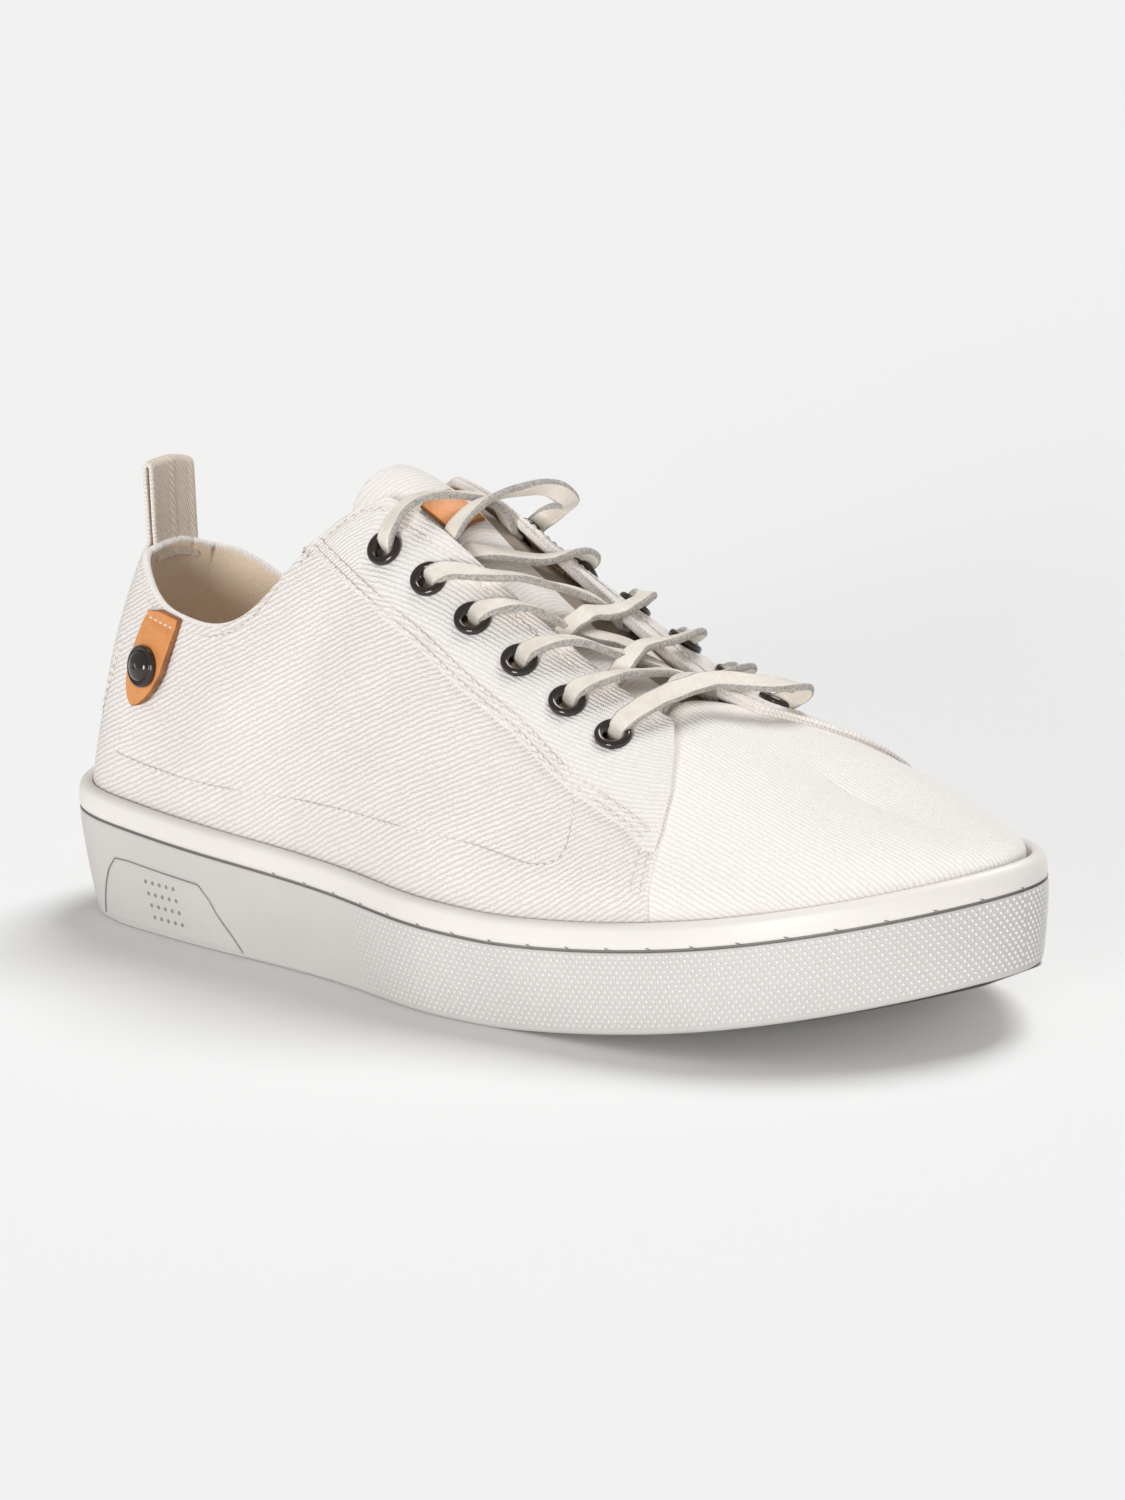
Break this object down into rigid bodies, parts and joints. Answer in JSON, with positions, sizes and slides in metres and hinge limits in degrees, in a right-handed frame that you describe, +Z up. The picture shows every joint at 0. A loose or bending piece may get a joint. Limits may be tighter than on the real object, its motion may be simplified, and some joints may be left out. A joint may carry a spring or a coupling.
{
  "type": "canvas sneaker",
  "caption": "Low canvas sneaker for the right foot: hollow laced upper on a rubber cupsole, with heel pull loop and leather tab",
  "frame": {"origin": "on the ground under the middle of the shoe's length, on the flat underside of the sole", "axes": "+X towards the toe, -Y the outer side, +Y the inner side, +Z up"},
  "size_m": [0.292, 0.1085, 0.1253],
  "materials": {
    "sole_rubber": "matt light grey-white moulded rubber",
    "lining_cloth": "beige cloth footbed",
    "canvas": "warm off-white twill canvas",
    "tan_leather": "smooth tan leather, bare",
    "webbing": "beige woven webbing",
    "black_metal": "glossy gunmetal black",
    "lace_leather": "flat cream leather lace, smooth face"
  },
  "bodies": {
    "root": {"outsole": "sole_rubber", "insole": "lining_cloth", "upper": "canvas", "tongue": "canvas", "tongue_label": "tan_leather", "collar_tab": "tan_leather", "pull_loop": "webbing", "tab_stud": "black_metal", "eyelet_lateral_1": "black_metal", "eyelet_lateral_2": "black_metal", "eyelet_lateral_3": "black_metal", "eyelet_lateral_4": "black_metal", "eyelet_lateral_5": "black_metal", "eyelet_lateral_6": "black_metal", "eyelet_medial_1": "black_metal", "eyelet_medial_2": "black_metal", "eyelet_medial_3": "black_metal", "eyelet_medial_4": "black_metal", "eyelet_medial_5": "black_metal", "eyelet_medial_6": "black_metal", "lace_1": "lace_leather", "lace_2": "lace_leather", "lace_3": "lace_leather", "lace_4": "lace_leather", "lace_5": "lace_leather", "lace_6": "lace_leather"}
  },
  "joints": []
}
